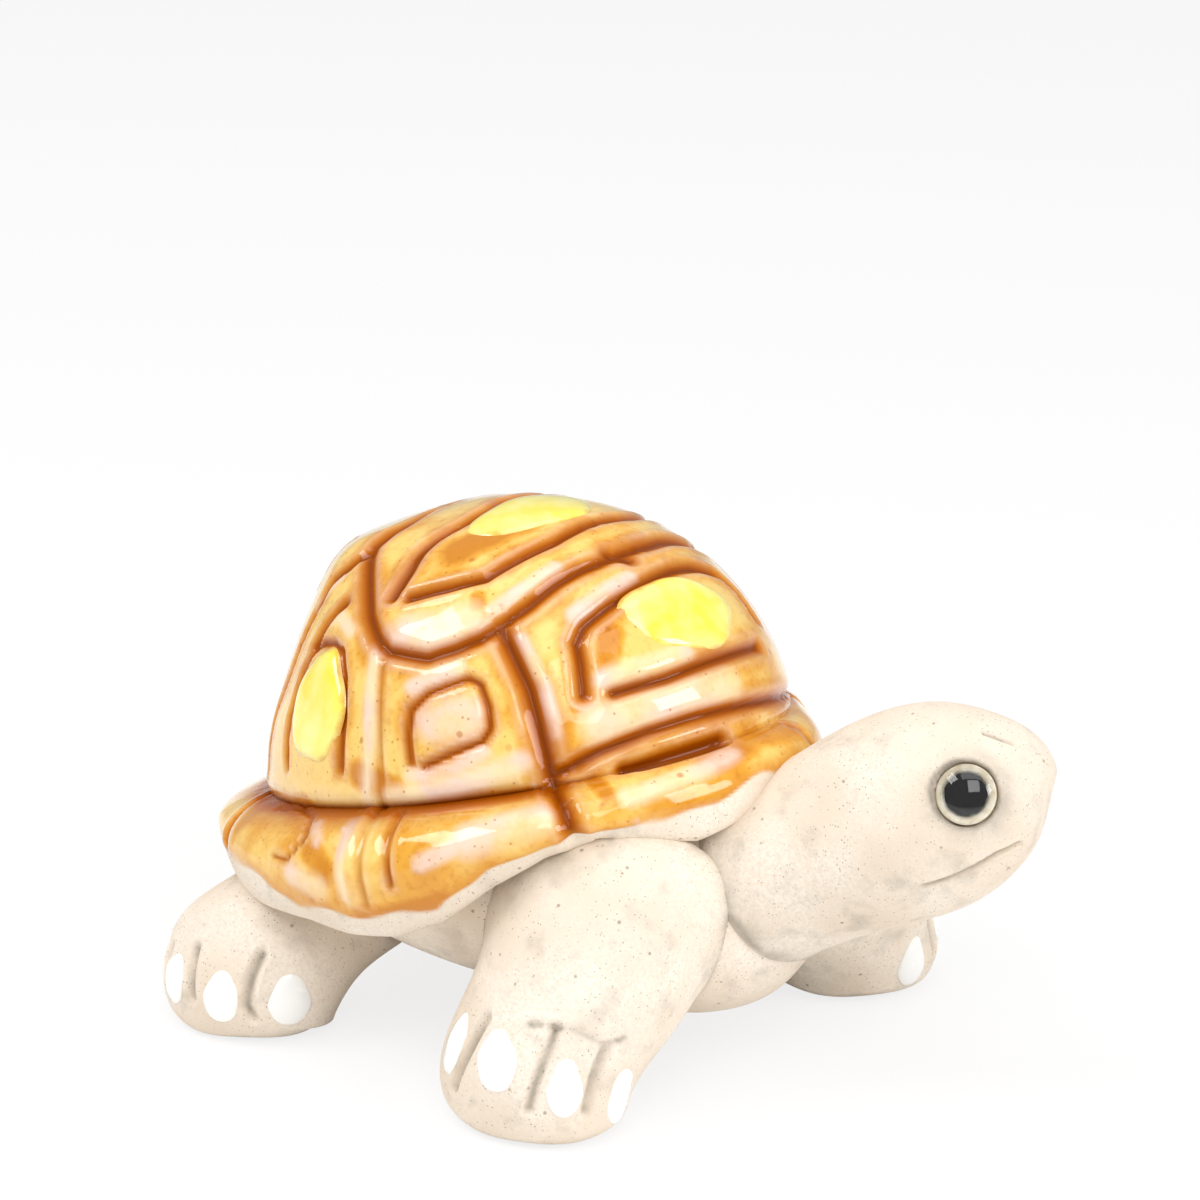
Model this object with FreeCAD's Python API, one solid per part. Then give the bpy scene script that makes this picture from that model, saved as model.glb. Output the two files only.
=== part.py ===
import FreeCAD, Part
import math
import os

# Small glazed stoneware tortoise, built from a hollow belly bowl, a domed shell set on it,
# and solid rolls for the limbs, the neck with the head, and the tail.
# Millimetres. X points ahead, Y to the animal's left, Z up. Feet stand on Z = 0.

Vector = FreeCAD.Vector

# Shell: half lengths of the dome on its seam plane, and where that plane sits
dome_half_length = 29.4
dome_half_width = 25.6
dome_height = 26.4
dome_lift = 27.4
dome_ahead = -0.5
dome_pitch = 14.8
shell_wall = 5.0
cavity_drop = 8.0

# Brim of the shell, which flares out below the seam plane and rises again at both ends
brim_drop = 14.5
brim_flare = 6.6
brim_end_flare = 5.2
brim_widest_drop = 6.0
brim_tuck = 2.4
crease_depth = 1.0
rim_drop = 12.9
rim_rocker_radius = 92.0
rim_low_point_ahead = 3.0

# Carving of the shell
groove_width = 1.7
groove_depth = 1.0
slot_width = 2.2

# Glaze dabs on the shell
dab_proud = 0.35
dab_recess = 0.45
top_dab_half_length = 3.8
top_dab_half_width = 8.6
front_dab_half_width = 7.4
front_dab_half_height = 4.6
flank_dab_half_width = 4.2
flank_dab_half_height = 6.0

# Belly bowl with the chest that carries the neck
belly_half_length = 30.0
belly_half_width = 23.2
belly_half_height = 13.5
belly_lift = 19.5
belly_ahead = 3.0
belly_wall = 4.0
seat_drop = 4.0
chest_half_length = 12.0
chest_half_width = 14.0
chest_half_height = 12.0
chest_ahead = 24.0
chest_lift = 17.0
vent_diameter = 6.5
vent_ahead = 1.0

# Front legs: from the shoulder out and down to a foot with toes turned outward
front_root_ahead = 22.0
front_root_out = 8.0
front_leg_height = 20.0
front_leg_reach = 16.8
front_leg_bow = 2.0
front_foot_half_length = 10.4
front_foot_half_width = 9.0
front_toe_turn = -51.5

# Rear legs
rear_root_behind = 10.0
rear_root_out = 13.0
rear_leg_height = 13.0
rear_leg_reach = 12.2
rear_leg_run = 8.0
rear_foot_half_length = 10.5
rear_foot_half_width = 9.0
rear_toe_turn = -77.0

# Claws, four on each foot, and the grooves between the toes
claw_half_width = 2.1
claw_half_height = 2.9
claw_proud = 0.9
toe_step = 41.0
toe_groove_radius = 0.75

# Neck and head, one roll that turns to the animal's left
neck_root_ahead = 19.0
neck_root_lift = 16.5
head_run = 39.3
head_turn_out = 13.1
head_rise = 14.5
head_half_width = 9.8
head_half_height = 10.5

# Mouth line, a shallow groove that rises towards the snout
mouth_width = 0.8
mouth_depth = 0.8
mouth_pitch = 23.5
mouth_below_tip = 1.4
mouth_length = 12.0

# Eyes: a glass cabochon over a black pupil, on a cream bed in a round socket
eye_radius = 3.0
eye_raise = 25.0
eye_sink = 0.6
bed_thickness = 1.2
pupil_radius = 2.1
pupil_thickness = 0.35
cabochon_height = 1.5
socket_clearance = 0.12

# Tail, a small tapered roll under the back of the shell
tail_root_behind = 20.0
tail_root_drop = 13.9
tail_run = 17.5
tail_fall = 7.0
tail_half_width = 4.6
tail_half_height = 3.9

# How far a cutter runs past what it cuts, and how many points shape an oval
overrun = 8.0
ring_points = 12

# Where the brim's top face and outer face swell between their ends, as shares
shoulder_flare_share = 0.66
shoulder_drop_share = 0.36
tuck_share = 0.25

# Rows: bow, reach, height, half length and half width of a front leg's rings
front_leg_shares = (
    (0.0, 0.0, 1.0, 0.96, 1.0),
    (1.0, 0.36, 0.9, 1.06, 1.16),
    (0.9, 0.68, 0.65, 1.0, 1.11),
    (0.35, 0.89, 0.4, 0.95, 1.01),
    (0.0, 1.0, 0.2, 1.0, 1.0),
    (-0.1, 1.0, 0.0, 0.72, 0.74),
)

# Rows: run back, reach, height, half length and half width of a rear leg's rings
rear_leg_shares = (
    (0.0, 0.0, 1.0, 0.76, 0.83),
    (0.5, 0.49, 0.85, 0.86, 0.89),
    (0.88, 0.86, 0.62, 0.94, 0.97),
    (1.0, 1.0, 0.34, 1.0, 1.0),
    (0.98, 1.0, 0.0, 0.76, 0.78),
)

# Rows: run, turn, rise, half width and half height of the neck's and head's rings
head_shares = (
    (0.0, 0.0, 0.0, 1.12, 0.9),
    (0.23, 0.06, 0.19, 1.02, 0.82),
    (0.433, 0.23, 0.52, 0.97, 0.89),
    (0.61, 0.44, 0.79, 1.0, 0.99),
    (0.763, 0.66, 0.95, 0.98, 1.0),
    (0.89, 0.84, 1.0, 0.81, 0.84),
    (0.963, 0.95, 1.0, 0.52, 0.56),
)
widest_head_ring = 4

# How high each claw of a foot sits, from the hind one to the one ahead, and where the toe grooves
# start and end, as shares of the leg's height
front_claw_shares = (0.41, 0.44, 0.365, 0.215)
rear_claw_shares = (0.47, 0.415, 0.39, 0.415)
front_groove_shares = (0.16, 0.56)
rear_groove_shares = (0.2, 0.78)
eye_station_share = 0.4

# Rows: run, fall and size of the tail's rings
tail_shares = ((0.0, 0.0, 1.0), (0.45, 0.3, 0.86), (0.8, 0.7, 0.56))

# Carved lines as places on the dome: degrees round it from dead ahead, degrees up it
plate_line = ((0, 51), (-25, 47.5), (-51, 38), (-70, 33), (-84, 38), (-99, 52), (-112, 62), (-130, 66), (-180, 74))
plate_inner_line = ((0, 61), (-40, 55.5), (-76, 50))
plate_inner_rear_line = ((-83, 50), (-76, 61), (-60, 72), (0, 79))
plate_back_line = ((-91, 55), (-94, 70), (-180, 82))
front_seam = ((-51, 38), (-46, 15), (-45, -2))
flank_seam = ((-84, 38), (-84, -2))
rear_seam = ((-130, 66), (-133, 30), (-135, -2))
front_marginal_line = ((0, 9), (-30, 8), (-46, 4))
front_panel = ((0, 45), (-16, 43), (-31, 38), (-35, 30), (-33, 20))
front_panel_foot = ((0, 17.5), (-27, 17))
shoulder_panel = ((-74, 19), (-61, 28), (-57, 25), (-58, 15), (-71, 8), (-75, 11), (-74, 19))
flank_panel = ((-91, 7), (-91, 27), (-99, 36), (-110, 31), (-114, 19), (-112, 6), (-91, 7))
rear_panel = ((-180, 44), (-155, 34), (-157, 12), (-180, 11))
carved_lines = (plate_line, plate_inner_line, plate_inner_rear_line, plate_back_line, front_seam, flank_seam,
                rear_seam, front_marginal_line, front_panel, front_panel_foot, shoulder_panel, flank_panel,
                rear_panel)
marginal_slot = ((-33, 2), (-8, 4))
brim_seam_places = (-45, -85, -136)
top_dab_place = (-21, 68)
front_dab_place = (-2, 31)
flank_dab_place = (-102, 21)


def ring(centre, normal, side, half_side, half_other):
    """A smooth oval about a centre, square to the normal, as a wire."""
    along = Vector(normal).normalize()
    across = (side - along * side.dot(along)).normalize()
    other = along.cross(across)
    angles = [math.radians(360 * index / ring_points) for index in range(ring_points)]
    points = [centre + across * (half_side * math.cos(angle)) + other * (half_other * math.sin(angle))
              for angle in angles]
    curve = Part.BSplineCurve()
    curve.interpolate(Points=points, PeriodicFlag=True)
    return Part.Wire([curve.toShape()])


def loft(sections):
    return Part.makeLoft(sections, True, False)


def ellipsoid(centre, half_length, half_width, half_height):
    matrix = FreeCAD.Matrix()
    matrix.scale(half_length, half_width, half_height)
    matrix.move(centre)
    return Part.makeSphere(1).transformGeometry(matrix)


def largest(shape):
    return max(shape.Solids, key=lambda solid: solid.Volume)


def mirrored(shape):
    return shape.mirror(Vector(0, 0, 0), Vector(0, 1, 0))


def on_shell(shape):
    """Stretches a shape of the round working dome to the real one and tips it into place."""
    matrix = FreeCAD.Matrix()
    matrix.scale(dome_half_length / dome_height, dome_half_width / dome_height, 1)
    real = shape.transformGeometry(matrix)
    turn = FreeCAD.Rotation(Vector(0, 1, 0), -dome_pitch)
    real.Placement = FreeCAD.Placement(Vector(dome_ahead, 0, dome_lift), turn)
    return real


def direction(around, up):
    """A unit direction from the middle of the round dome."""
    turn = math.radians(around)
    climb = math.radians(up)
    return Vector(math.cos(climb) * math.cos(turn), math.cos(climb) * math.sin(turn), math.sin(climb))


def carve_plate(start, end, width):
    """A flat cutter through the round dome's middle that stands on its surface from place to place."""
    inner = dome_height - overrun
    outer = dome_height + overrun
    corners = [start * inner, end * inner, end * outer, start * outer, start * inner]
    normal = start.cross(end).normalize()
    outline = Part.Face(Part.makePolygon(corners))
    outline.translate(normal * (-width / 2))
    return outline.extrude(normal * width)


def carve_line(places, width=groove_width):
    """Plates from place to place, with a round post at each."""
    ways = [direction(around, up) for around, up in places]
    solids = [carve_plate(start, end, width) for start, end in zip(ways, ways[1:])]
    solids += [Part.makeCylinder(width / 2, 2 * overrun, way * (dome_height - overrun), way) for way in ways]
    return solids


def dome_carving():
    """Every cutter for the seams, panels and slots of the round dome, on both sides."""
    right = carve_line(marginal_slot, slot_width)
    for line in carved_lines:
        right += carve_line(line)
    cutters = right + [mirrored(solid) for solid in right]
    floor = Part.makeSphere(dome_height - groove_depth)
    return cutters[0].fuse(cutters[1:]).cut(floor)


def dab(place, half_side, half_up):
    """A thick glaze dab, half sunk in the round dome."""
    way = direction(*place)
    side = Vector(-math.sin(math.radians(place[0])), math.cos(math.radians(place[0])), 0)
    outline = ring(way * (dome_height - overrun), way, side, half_side, half_up)
    prism = Part.Face(outline).extrude(way * (2 * overrun))
    skin = Part.makeSphere(dome_height + dab_proud).cut(Part.makeSphere(dome_height - dab_recess))
    return prism.common(skin)


def dabs_on_round_dome():
    front = dab(front_dab_place, front_dab_half_width, front_dab_half_height)
    top = dab(top_dab_place, top_dab_half_width, top_dab_half_length)
    flank = dab(flank_dab_place, flank_dab_half_width, flank_dab_half_height)
    return [front, top, flank, mirrored(flank)]


def above(shape, height):
    """Keeps what lies above a height in the shape's frame."""
    side = 4 * dome_half_length
    return shape.common(Part.makeBox(side, side, side, Vector(-side / 2, -side / 2, height)))


def brim_form(inset):
    """The flared brim round the round dome, revolved, drawn in by the inset."""
    def place(flare, drop):
        return Vector(dome_height + flare - inset, 0, -drop)

    crease = place(-crease_depth, 0)
    widest = place(brim_flare, brim_widest_drop)
    foot = place(brim_flare - brim_tuck, brim_drop)
    top_face = Part.Arc(crease, place(brim_flare * shoulder_flare_share, brim_widest_drop * shoulder_drop_share),
                        widest)
    outer_face = Part.Arc(widest, place(brim_flare - brim_tuck * tuck_share, (brim_widest_drop + brim_drop) / 2),
                          foot)
    outline = [top_face.toShape(), outer_face.toShape(), Part.makeLine(foot, Vector(0, 0, foot.z)),
               Part.makeLine(Vector(0, 0, foot.z), Vector(0, 0, 0)), Part.makeLine(Vector(0, 0, 0), crease)]
    return Part.Face(Part.Wire(outline)).revolve(Vector(0, 0, 0), Vector(0, 0, 1), 360)


def brim_seam(around):
    """A plate that carries a seam over the brim."""
    way = direction(around, 0)
    near = way * (dome_height - overrun)
    far = way * (dome_height + brim_flare + overrun)
    drop = Vector(0, 0, -brim_drop - overrun)
    outline = Part.Face(Part.makePolygon([near, far, far + drop, near + drop, near]))
    normal = (far - near).cross(drop).normalize()
    outline.translate(normal * (-groove_width / 2))
    return outline.extrude(normal * groove_width)


def rocker():
    """A drum along Y whose underside gives the rim its rise to both ends."""
    half_width = dome_height + brim_flare + overrun
    return Part.makeCylinder(rim_rocker_radius, 2 * half_width,
                             Vector(rim_low_point_ahead, -half_width, rim_rocker_radius - rim_drop),
                             Vector(0, 1, 0))


def end_trim():
    """An upright oval drum that draws the brim in ahead and behind."""
    half_length = (dome_half_length + brim_end_flare) * dome_height / dome_half_length
    half_width = dome_height + brim_flare + crease_depth
    foot = Vector(0, 0, -brim_drop - overrun)
    outline = ring(foot, Vector(0, 0, 1), Vector(1, 0, 0), half_length, half_width)
    return Part.Face(outline).extrude(foot * -2)


def carved_shell(dabs):
    """The solid dome and brim with their carving and the beds of the dabs, still round."""
    dome = above(Part.makeSphere(dome_height), 0).cut(dome_carving()).cut(dabs)
    seams = Part.makeCompound([brim_seam(side * around) for around in brim_seam_places for side in (1, -1)])
    brim = brim_form(0).cut(seams.cut(brim_form(groove_depth))).common(rocker()).common(end_trim())
    return dome.fuse(brim)


def below_seat(shape):
    """Keeps what lies under the plane where the shell sits on the belly bowl."""
    side = 4 * dome_half_length
    block = Part.makeBox(side, side, side, Vector(-side / 2, -side / 2, -seat_drop - side))
    return shape.common(on_shell(block))


def belly_form():
    belly = ellipsoid(Vector(belly_ahead, 0, belly_lift), belly_half_length, belly_half_width, belly_half_height)
    chest = ellipsoid(Vector(chest_ahead, 0, chest_lift), chest_half_length, chest_half_width, chest_half_height)
    return belly.fuse(chest)


def hollow():
    """The space inside the dome and the belly bowl, as one form."""
    dome = above(Part.makeSphere(dome_height - shell_wall), -cavity_drop)
    bowl = ellipsoid(Vector(belly_ahead, 0, belly_lift), belly_half_length - belly_wall,
                     belly_half_width - belly_wall, belly_half_height - belly_wall)
    return on_shell(dome).fuse(bowl)


def vent():
    return Part.makeCylinder(vent_diameter / 2, belly_lift, Vector(vent_ahead, 0, 0))


def ring_loft(rings, side, tip=None):
    """A loft through rings that each stand square to the line of their centres."""
    points, sizes = rings
    path = points + [tip] if tip else points
    sections = []
    for index, (point, (half_side, half_other)) in enumerate(zip(points, sizes)):
        before = path[max(index - 1, 0)]
        after = path[min(index + 1, len(path) - 1)]
        sections.append(ring(point, after - before, side, half_side, half_other))
    if tip:
        sections.append(Part.Vertex(tip))
    else:
        sections[-1] = ring(points[-1], Vector(0, 0, -1), side, *sizes[-1])
    return loft(sections)


def front_leg_rings():
    points = [Vector(front_root_ahead + front_leg_bow * bow,
                     -front_root_out - front_leg_reach * reach,
                     front_leg_height * height) for bow, reach, height, length, width in front_leg_shares]
    sizes = [(front_foot_half_length * length, front_foot_half_width * width)
             for bow, reach, height, length, width in front_leg_shares]
    return points, sizes


def rear_leg_rings():
    points = [Vector(-rear_root_behind - rear_leg_run * run,
                     -rear_root_out - rear_leg_reach * reach,
                     rear_leg_height * height) for run, reach, height, length, width in rear_leg_shares]
    sizes = [(rear_foot_half_length * length, rear_foot_half_width * width)
             for run, reach, height, length, width in rear_leg_shares]
    return points, sizes


def leg_form(rings):
    return ring_loft(rings, Vector(1, 0, 0))


def foot_edge(rings, turn, height):
    """A point on the foot's outside at a height, its outward direction and the foot's half sizes there."""
    points, sizes = rings
    above = next(index for index in range(len(points) - 1, -1, -1) if points[index].z >= height)
    below = above + 1
    share = (height - points[below].z) / (points[above].z - points[below].z)
    centre = points[below] + (points[above] - points[below]) * share
    half_length = sizes[below][0] + (sizes[above][0] - sizes[below][0]) * share
    half_width = sizes[below][1] + (sizes[above][1] - sizes[below][1]) * share
    angle = math.radians(turn)
    outward = Vector(math.cos(angle), math.sin(angle), 0)
    reach = 1 / math.hypot(outward.x / half_length, outward.y / half_width)
    return centre + outward * reach, outward


def claw(rings, turn, height):
    """One claw, a flattened egg set into the front of a toe."""
    place, outward = foot_edge(rings, turn, height)
    bead = ellipsoid(Vector(0, 0, 0), claw_proud, claw_half_width, claw_half_height)
    bead.rotate(Vector(0, 0, 0), Vector(0, 0, 1), turn)
    bead.translate(place)
    return bead


def toe_groove(rings, turn, low_height, high_height):
    """A long egg-shaped cutter that runs down the foot between two claws."""
    low, outward = foot_edge(rings, turn, low_height)
    high, outward = foot_edge(rings, turn, high_height)
    run = high - low
    cutter = ellipsoid(Vector(0, 0, 0), toe_groove_radius, toe_groove_radius, run.Length / 2)
    cutter.Placement = FreeCAD.Placement((low + high) / 2, FreeCAD.Rotation(Vector(0, 0, 1), run))
    return cutter


def foot_claws(rings, middle_turn, claw_shares):
    leg_height = rings[0][0].z
    first = middle_turn - toe_step * (len(claw_shares) - 1) / 2
    return [claw(rings, first + toe_step * index, leg_height * share) for index, share in enumerate(claw_shares)]


def foot_grooves(rings, middle_turn, claw_shares, groove_shares):
    low, high = [rings[0][0].z * share for share in groove_shares]
    first = middle_turn - toe_step * (len(claw_shares) - 2) / 2
    return [toe_groove(rings, first + toe_step * index, low, high) for index in range(len(claw_shares) - 1)]


def head_rings(inset):
    points = [Vector(neck_root_ahead + head_run * run, head_turn_out * turn, neck_root_lift + head_rise * rise)
              for run, turn, rise, width, height in head_shares]
    sizes = [(head_half_height * height - inset, head_half_width * width - inset)
             for run, turn, rise, width, height in head_shares]
    return points, sizes


def snout_tip():
    return Vector(neck_root_ahead + head_run, head_turn_out, neck_root_lift + head_rise)


def head_form(inset=0):
    rings = head_rings(inset)
    axis = (snout_tip() - rings[0][-1]).normalize()
    return ring_loft(rings, Vector(0, 0, -1), snout_tip() - axis * inset)


def mouth():
    """The mouth line, a flat cutter round the snout whose floor follows the head."""
    half_side = head_half_width + overrun
    blade = Part.makeBox(mouth_length + overrun, 2 * half_side, mouth_width,
                         Vector(-mouth_length, -half_side, -mouth_width / 2))
    heading = snout_tip() - head_rings(0)[0][widest_head_ring]
    yaw = math.degrees(math.atan2(heading.y, heading.x))
    blade.Placement = FreeCAD.Placement(snout_tip() - Vector(0, 0, mouth_below_tip),
                                        FreeCAD.Rotation(yaw, -mouth_pitch, 0))
    return blade.cut(head_form(mouth_depth))


def eye_seat(side):
    """Where an eye's axis leaves the head, and the axis; side is 1 on the right and -1 on the left."""
    points, sizes = head_rings(0)
    near, far = widest_head_ring, widest_head_ring + 1
    centre = points[near] + (points[far] - points[near]) * eye_station_share
    half_height, half_width = [low + (high - low) * eye_station_share for low, high in zip(sizes[near], sizes[far])]
    heading = (points[far] - points[near - 1]).normalize()
    out = heading.cross(Vector(0, 0, 1)).normalize() * side
    up = Vector(0, 0, 1)
    raised = math.radians(eye_raise)
    place = centre + out * (half_width * math.cos(raised)) + up * (half_height * math.sin(raised))
    return place, out * math.cos(raised) + up * math.sin(raised)


def eye(side):
    """The socket cutter, the bed, the pupil and the glass of one eye."""
    place, axis = eye_seat(side)
    face = place - axis * eye_sink
    floor = face - axis * bed_thickness
    socket = Part.makeCylinder(eye_radius + socket_clearance, bed_thickness + overrun, floor, axis)
    pupil = Part.makeCylinder(pupil_radius, pupil_thickness, face - axis * pupil_thickness, axis)
    bed = Part.makeCylinder(eye_radius, bed_thickness, floor, axis).cut(pupil)
    ball_radius = (eye_radius ** 2 + cabochon_height ** 2) / (2 * cabochon_height)
    ball = Part.makeSphere(ball_radius, face - axis * (ball_radius - cabochon_height))
    glass = ball.common(Part.makeCylinder(2 * eye_radius, 2 * cabochon_height, face, axis))
    return socket, bed, pupil, glass


def tail_form():
    root_lift = dome_lift - tail_root_drop
    points = [Vector(-tail_root_behind - tail_run * run, 0, root_lift - tail_fall * fall)
              for run, fall, size in tail_shares]
    sizes = [(tail_half_width * size, tail_half_height * size) for run, fall, size in tail_shares]
    return ring_loft((points, sizes), Vector(0, 1, 0),
                     Vector(-tail_root_behind - tail_run, 0, root_lift - tail_fall))


def leg_nodes(name, rings, middle_turn, claw_shares, groove_shares, neighbours):
    """A leg on each side with its claws, cut to seat on its neighbours."""
    claws = foot_claws(rings, middle_turn, claw_shares)
    leg = leg_form(rings).cut(claws + foot_grooves(rings, middle_turn, claw_shares, groove_shares))
    nodes = {}
    for side, place in (("right", lambda shape: shape), ("left", mirrored)):
        nodes[name + "_" + side + "_leg"] = largest(place(leg).cut(neighbours))
        nodes[name + "_" + side + "_claws"] = Part.makeCompound([place(bead) for bead in claws])
    return nodes


def turtle():
    """Every piece by the name of its node."""
    body = belly_form()
    space = hollow()
    bowl = below_seat(body)
    head = head_form()
    tail = tail_form()
    legs = leg_nodes("front", front_leg_rings(), front_toe_turn, front_claw_shares, front_groove_shares,
                     [body, head])
    legs.update(leg_nodes("rear", rear_leg_rings(), rear_toe_turn, rear_claw_shares, rear_groove_shares, [body]))
    dabs = dabs_on_round_dome()
    under_shell = [bowl, space, head, tail]
    for rings in (front_leg_rings(), rear_leg_rings()):
        leg = leg_form(rings)
        under_shell += [leg, mirrored(leg)]
    nodes = {
        "carapace": largest(on_shell(carved_shell(dabs)).cut(under_shell)),
        "glaze_dabs": Part.makeCompound([on_shell(dab) for dab in dabs]),
        "belly_bowl": largest(bowl.cut([space, vent()])),
        "tail": largest(tail.cut(body)),
    }
    nodes.update(legs)
    sockets = []
    for name, side in (("right", 1), ("left", -1)):
        socket, bed, pupil, glass = eye(side)
        sockets.append(socket)
        nodes[name + "_eye_bed"] = bed
        nodes[name + "_eye_pupil"] = pupil
        nodes[name + "_eye_glass"] = glass
    nodes["neck_and_head"] = largest(head.cut([body, mouth()] + sockets))
    return nodes


def main():
    nodes = turtle()
    box = Part.makeCompound(list(nodes.values())).optimalBoundingBox()
    to_origin = Vector(-(box.XMin + box.XMax) / 2, -(box.YMin + box.YMax) / 2, -box.ZMin)
    os.makedirs("parts", exist_ok=True)
    for name, shape in nodes.items():
        shape.translate(to_origin)
        shape.exportStep("parts/" + name + ".step")
        print(name, round(shape.Volume, 1), len(shape.Solids), shape.isValid())
    print("size", round(box.XLength, 2), round(box.YLength, 2), round(box.ZLength, 2))


main()
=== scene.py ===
import math

import bpy
import numpy as np
from mathutils import Matrix, Vector
from mathutils.bvhtree import BVHTree


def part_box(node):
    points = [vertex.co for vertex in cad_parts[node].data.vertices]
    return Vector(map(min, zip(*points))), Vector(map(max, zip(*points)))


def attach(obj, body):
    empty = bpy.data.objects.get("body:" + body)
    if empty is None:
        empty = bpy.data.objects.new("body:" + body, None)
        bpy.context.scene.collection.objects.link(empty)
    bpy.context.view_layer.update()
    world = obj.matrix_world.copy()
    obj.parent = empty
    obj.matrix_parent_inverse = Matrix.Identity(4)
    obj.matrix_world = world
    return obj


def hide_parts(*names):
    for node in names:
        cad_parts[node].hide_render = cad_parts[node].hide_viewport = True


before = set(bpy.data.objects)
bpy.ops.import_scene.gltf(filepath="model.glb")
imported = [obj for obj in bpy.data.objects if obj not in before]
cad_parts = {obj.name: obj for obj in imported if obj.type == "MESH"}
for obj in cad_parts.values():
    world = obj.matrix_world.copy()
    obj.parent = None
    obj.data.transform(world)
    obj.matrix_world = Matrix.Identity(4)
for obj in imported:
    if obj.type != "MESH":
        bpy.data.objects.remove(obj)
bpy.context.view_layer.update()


# Camera, floor and soft light
# A long lens from the animal's right and a little ahead, looking down a little. The figurine stands
# on a plain pale sheet among four small soft boxes: left, right, overhead and beside the lens.
mm = 0.001
belly_back = -27 * mm
origin_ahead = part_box("belly_bowl")[0][0] - belly_back


def at(ahead, left, up):
    """A point of the figurine in millimetres from under the middle of its body."""
    return Vector((origin_ahead + ahead * mm, left * mm, up * mm))


def linear(red, green, blue):
    """A colour as it is seen, 0 to 255, for a shader."""
    seen = np.array([red, green, blue]) / 255
    bright = np.where(seen > 0.04045, ((seen + 0.055) / 1.055) ** 2.4, seen / 12.92)
    return (*bright.tolist(), 1)


def new_material(name):
    """A material with its node tree and its shader."""
    material = bpy.data.materials.new(name)
    material.use_nodes = True
    return material, material.node_tree, material.node_tree.nodes["Principled BSDF"]


def wire(tree, node, inputs):
    """Sets a node's inputs, each to a plain value or to the output of another node."""
    for key, value in inputs.items():
        if isinstance(value, bpy.types.NodeSocket):
            tree.links.new(value, node.inputs[key])
        else:
            node.inputs[key].default_value = value


def put(tree, kind, settings, inputs):
    """Adds a node of a kind with its settings and inputs."""
    new = tree.nodes.new("ShaderNode" + kind)
    for key, value in settings.items():
        setattr(new, key, value)
    wire(tree, new, inputs)
    return new


def reckon(tree, kind, first, second):
    return put(tree, "Math", {"operation": kind}, {0: first, 1: second}).outputs[0]


view_turn = math.radians(41.3)
view_drop = math.radians(18.0)
view_distance = 502
view_scale = 0.105
photo_middle = 600
target_across, target_down = 535.0, 758.3
target_height = 26

across = Vector((math.cos(view_turn), math.sin(view_turn), 0))
toward = Vector((math.sin(view_turn) * math.cos(view_drop), -math.cos(view_turn) * math.cos(view_drop),
                 math.sin(view_drop)))
upward = toward.cross(across)
camera_place = at(0, 0, target_height) + (toward * view_distance
                                          - across * ((target_across - photo_middle) * view_scale)
                                          - upward * ((photo_middle - target_down) * view_scale)) * mm
bpy.ops.object.camera_add(location=camera_place)
camera = bpy.context.object
camera.rotation_euler = Matrix((across, upward, toward)).transposed().to_euler()
camera.data.lens = camera.data.sensor_width * view_distance / view_scale / (2 * photo_middle)
camera.data.clip_start = 10 * mm
bpy.context.scene.camera = camera
bpy.context.scene.view_settings.view_transform = "Standard"

floor_half = 3.0
bpy.ops.mesh.primitive_plane_add(size=2 * floor_half)
floor = bpy.context.object
floor.name = "floor_sheet"
paper, paper_tree, paper_shader = new_material("paper")
wire(paper_tree, paper_shader, {"Base Color": (0.93, 0.93, 0.93, 1), "Roughness": 0.9, "Specular IOR Level": 0.1})
paper_rays = put(paper_tree, "LightPath", {}, {})
paper_seen = reckon(paper_tree, "MULTIPLY", paper_rays.outputs["Is Camera Ray"], 0.8)
paper_glow = put(paper_tree, "Emission", {}, {})
paper_mix = put(paper_tree, "MixShader", {}, {0: paper_seen, 1: paper_shader.outputs[0], 2: paper_glow.outputs[0]})
wire(paper_tree, paper_tree.nodes["Material Output"], {"Surface": paper_mix.outputs[0]})
floor.data.materials.append(paper)

world = bpy.data.worlds.new("studio")
bpy.context.scene.world = world
world.use_nodes = True
wire(world.node_tree, world.node_tree.nodes["Background"], {"Color": (1, 1, 1, 1), "Strength": 0.45})


def soft_box(name, place, width, height, power):
    """An area lamp that faces the figurine; its sides are in metres and its power in watts."""
    bpy.ops.object.light_add(type="AREA", location=place)
    lamp = bpy.context.object
    lamp.name = name
    lamp.data.shape = "RECTANGLE"
    lamp.data.size = width
    lamp.data.size_y = height
    lamp.data.energy = power
    lamp.rotation_euler = (middle - place).to_track_quat("-Z", "Y").to_euler()


middle = at(0, 0, 25)
soft_box("box_left", middle + (toward * 0.22 - across * 0.48 + upward * 0.5), 0.45, 0.22, 1.9)
soft_box("box_right", middle + (toward * 0.38 + across * 0.5 + upward * 0.2), 0.28, 0.24, 1.5)
soft_box("box_top", middle + Vector((0, 0, 0.6)) + toward * 0.1, 0.5, 0.5, 1.3)
soft_box("box_front", middle + (toward * 0.6 + across * 0.03 + upward * 0.3), 0.3, 0.3, 1.1)


# Belly bowl and chest
# The hollow lower body of bare clay, pinched round and closed against the shell, with a chest
# that carries the neck. Two lumps are joined and smoothed over as a potter does with slip.
def deselect():
    if bpy.context.object and bpy.context.object.mode != "OBJECT":
        bpy.ops.object.mode_set(mode="OBJECT")
    bpy.ops.object.select_all(action="DESELECT")


def make_active(piece):
    deselect()
    piece.select_set(True)
    bpy.context.view_layer.objects.active = piece


def apply_modifier(piece, kind, **settings):
    make_active(piece)
    bpy.ops.object.modifier_add(type=kind)
    modifier = piece.modifiers[-1]
    for key, value in settings.items():
        setattr(modifier, key, value)
    bpy.ops.object.modifier_apply(modifier=modifier.name)


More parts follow.
